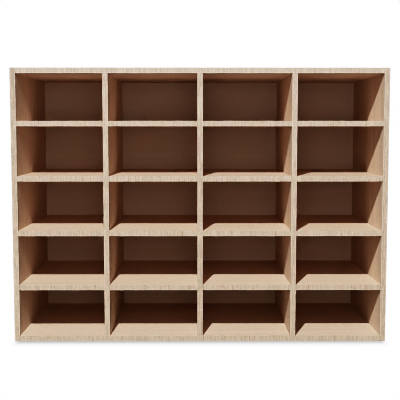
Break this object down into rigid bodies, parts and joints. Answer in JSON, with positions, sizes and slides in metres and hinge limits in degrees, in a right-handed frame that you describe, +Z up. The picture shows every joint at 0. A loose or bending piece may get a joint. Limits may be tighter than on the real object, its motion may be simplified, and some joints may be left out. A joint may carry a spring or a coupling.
{
  "type": "paint rack organizer",
  "caption": "Low open-fronted wooden case divided into a grid of rectangular compartments, for storing model paints, pots and spray cans.",
  "frame": {"origin": "centre of the footprint, on the surface the case stands on", "axes": "+X to the right as seen from the open front, +Y from the open front towards the back, +Z up"},
  "size_m": [0.61, 0.254, 0.446],
  "materials": {
    "board_veneer": "satin",
    "edge_band": "satin",
    "back_veneer": "matte",
    "dowel_wood": "matte",
    "pin_steel": "satin"
  },
  "bodies": {
    "root": {"side_panel_left": "board_veneer", "side_panel_right": "board_veneer", "top_panel": "board_veneer", "bottom_panel": "board_veneer", "divider_left": "board_veneer", "divider_centre": "board_veneer", "divider_right": "board_veneer", "shelf_1": "board_veneer", "shelf_2": "board_veneer", "shelf_3": "board_veneer", "shelf_4": "board_veneer", "edge_band_side_left": "edge_band", "edge_band_side_right": "edge_band", "edge_band_top": "edge_band", "edge_band_bottom": "edge_band", "edge_band_divider_left": "edge_band", "edge_band_divider_centre": "edge_band", "edge_band_divider_right": "edge_band", "edge_band_shelf_1_column_1": "edge_band", "edge_band_shelf_1_column_2": "edge_band", "edge_band_shelf_1_column_3": "edge_band", "edge_band_shelf_1_column_4": "edge_band", "edge_band_shelf_2_column_1": "edge_band", "edge_band_shelf_2_column_2": "edge_band", "edge_band_shelf_2_column_3": "edge_band", "edge_band_shelf_2_column_4": "edge_band", "edge_band_shelf_3_column_1": "edge_band", "edge_band_shelf_3_column_2": "edge_band", "edge_band_shelf_3_column_3": "edge_band", "edge_band_shelf_3_column_4": "edge_band", "edge_band_shelf_4_column_1": "edge_band", "edge_band_shelf_4_column_2": "edge_band", "edge_band_shelf_4_column_3": "edge_band", "edge_band_shelf_4_column_4": "edge_band", "back_panel": "back_veneer", "corner_dowels": "dowel_wood", "back_panel_pins": "pin_steel"}
  },
  "joints": []
}
